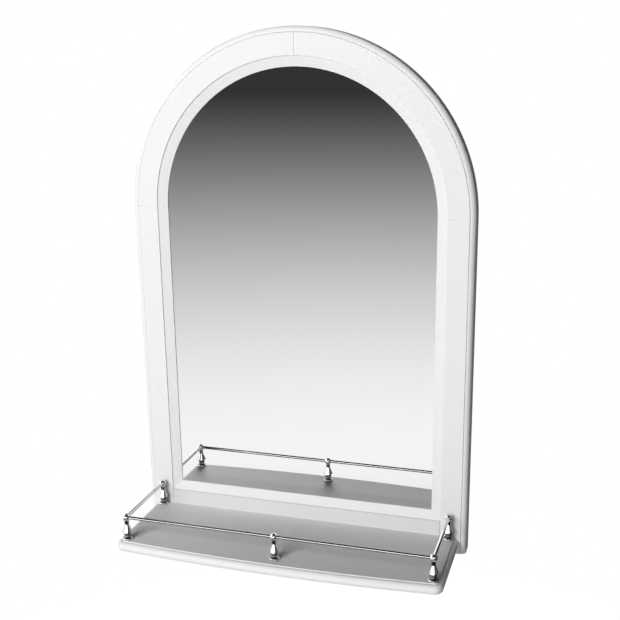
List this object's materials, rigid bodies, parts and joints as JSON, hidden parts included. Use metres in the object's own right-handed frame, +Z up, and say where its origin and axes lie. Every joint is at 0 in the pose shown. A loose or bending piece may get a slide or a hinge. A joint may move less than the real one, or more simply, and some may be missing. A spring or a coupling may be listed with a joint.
{
  "type": "arched mirror with shelf",
  "caption": "Wall-hung mirror in a white moulded arched frame, with a bow-fronted shelf at its foot and a chromed gallery rail round the shelf.",
  "frame": {"origin": "on the wall plane, midway between the entry holes of the two keyhole hangers", "axes": "+X to the viewer's right, +Y towards the wall, +Z up"},
  "size_m": [0.6, 0.2065, 0.892],
  "materials": {
    "white_enamel": "white gloss enamel on MDF",
    "silvered_glass": "silvered float glass",
    "hardboard": "raw hardboard",
    "chrome_plate": "polished chrome plate",
    "zinc_plate": "zinc-plated steel",
    "beech": "fluted beech dowel, plain here"
  },
  "bodies": {
    "root": {"left_arch": "white_enamel", "right_arch": "white_enamel", "left_stile": "white_enamel", "right_stile": "white_enamel", "bottom_rail": "white_enamel", "shelf": "white_enamel", "mirror_glass": "silvered_glass", "back_panel": "hardboard", "front_left_post": "chrome_plate", "front_middle_post": "chrome_plate", "front_right_post": "chrome_plate", "back_left_post": "chrome_plate", "back_right_post": "chrome_plate", "front_rod": "chrome_plate", "left_side_rod": "chrome_plate", "right_side_rod": "chrome_plate", "panel_screws": "zinc_plate", "shelf_screws": "zinc_plate", "post_screws": "zinc_plate", "hanger_screws": "zinc_plate", "left_hanger": "zinc_plate", "right_hanger": "zinc_plate", "frame_dowels": "beech", "shelf_dowels": "beech"}
  },
  "joints": []
}
